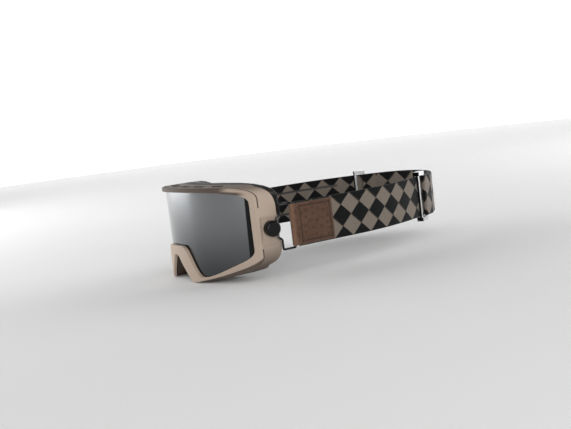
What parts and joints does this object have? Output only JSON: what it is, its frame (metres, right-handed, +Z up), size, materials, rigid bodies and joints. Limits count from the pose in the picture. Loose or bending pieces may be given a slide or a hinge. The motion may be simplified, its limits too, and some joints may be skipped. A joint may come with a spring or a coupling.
{
  "type": "motorcycle goggles",
  "caption": "Motorcycle goggles with a cylindrical mirror lens in a sand frame, face foam, wire strap bails and an adjustable woven head strap.",
  "frame": {"origin": "midway between the two strap knobs, on their axis", "axes": "+X to the wearer's left, +Y back to the wearer's head and the strap, +Z up"},
  "size_m": [0.1806, 0.3196, 0.0968],
  "materials": {
    "shell": "matte sand moulded plastic",
    "face_frame": "matte dark brown moulded plastic",
    "lens": "silver-grey mirror coating",
    "foam": "open-cell black foam",
    "fleece": "brushed fleece",
    "knob": "glossy",
    "steel": "brushed",
    "wire": "black nickel",
    "leather": "brown suede",
    "strap": "woven elastic with a harlequin pattern",
    "silicone": "silicone",
    "slider": "black enamel and bright edges"
  },
  "bodies": {
    "goggle_frame": {"frame_shell": "shell", "face_frame": "face_frame", "lens": "lens", "vent_foam_top": "foam", "vent_foam_bottom": "foam", "foam_base": "foam", "foam_middle": "foam", "foam_fleece": "fleece"},
    "turning_knob_left": {"knob_left": "knob", "knob_washer_left": "steel", "knob_screw_left": "steel"},
    "turning_knob_right": {"knob_right": "knob", "knob_washer_right": "steel", "knob_screw_right": "steel"},
    "wire_bail_left": {"bail_left": "wire"},
    "wire_bail_right": {"bail_right": "wire"},
    "strap": {"strap_half_left": "strap", "strap_half_right": "strap", "grip_lines_left": "silicone", "grip_lines_right": "silicone", "patch_left": "leather", "patch_right": "leather"},
    "adjuster_left": {"slider_left": "slider", "strap_fold_left": "strap"},
    "adjuster_right": {"slider_right": "slider", "strap_fold_right": "strap"}
  },
  "joints": [
    {"name": "strap_tilt", "type": "hinge", "parent": "goggle_frame", "child": "turning_knob_left", "pos_m": [0, 0, 0], "axis": [1, 0, 0], "range_deg": [-15, 15]},
    {"name": "knob_right_turn", "type": "hinge", "parent": "goggle_frame", "child": "turning_knob_right", "pos_m": [0, 0, 0], "axis": [1, 0, 0], "range_deg": [-15, 15]},
    {"name": "bail_swing", "type": "hinge", "parent": "turning_knob_left", "child": "wire_bail_left", "pos_m": [0.0876, 0.0045, 0], "axis": [0, 0, 1], "range_deg": [-10, 10]},
    {"name": "bail_right_swing", "type": "hinge", "parent": "turning_knob_right", "child": "wire_bail_right", "pos_m": [-0.0876, 0.0045, 0], "axis": [0, 0, 1], "range_deg": [-10, 10]},
    {"name": "strap_on_bail", "type": "hinge", "parent": "wire_bail_left", "child": "strap", "pos_m": [0.0876, 0.0225, 0], "axis": [0, 0, 1], "range_deg": [-10, 10]},
    {"name": "slider_left_travel", "type": "hinge", "parent": "strap", "child": "adjuster_left", "pos_m": [-0.1424, 0.092, 0], "axis": [0, 0, 1], "range_deg": [-3, 0]},
    {"name": "slider_right_travel", "type": "hinge", "parent": "strap", "child": "adjuster_right", "pos_m": [0.1424, 0.092, 0], "axis": [0, 0, -1], "range_deg": [-3, 0]}
  ],
  "couplings": [
    {"joint": "knob_right_turn", "follows": "strap_tilt", "ratio": 1},
    {"joint": "bail_right_swing", "follows": "bail_swing", "ratio": 1},
    {"joint": "strap_on_bail", "follows": "bail_swing", "ratio": -1}
  ]
}
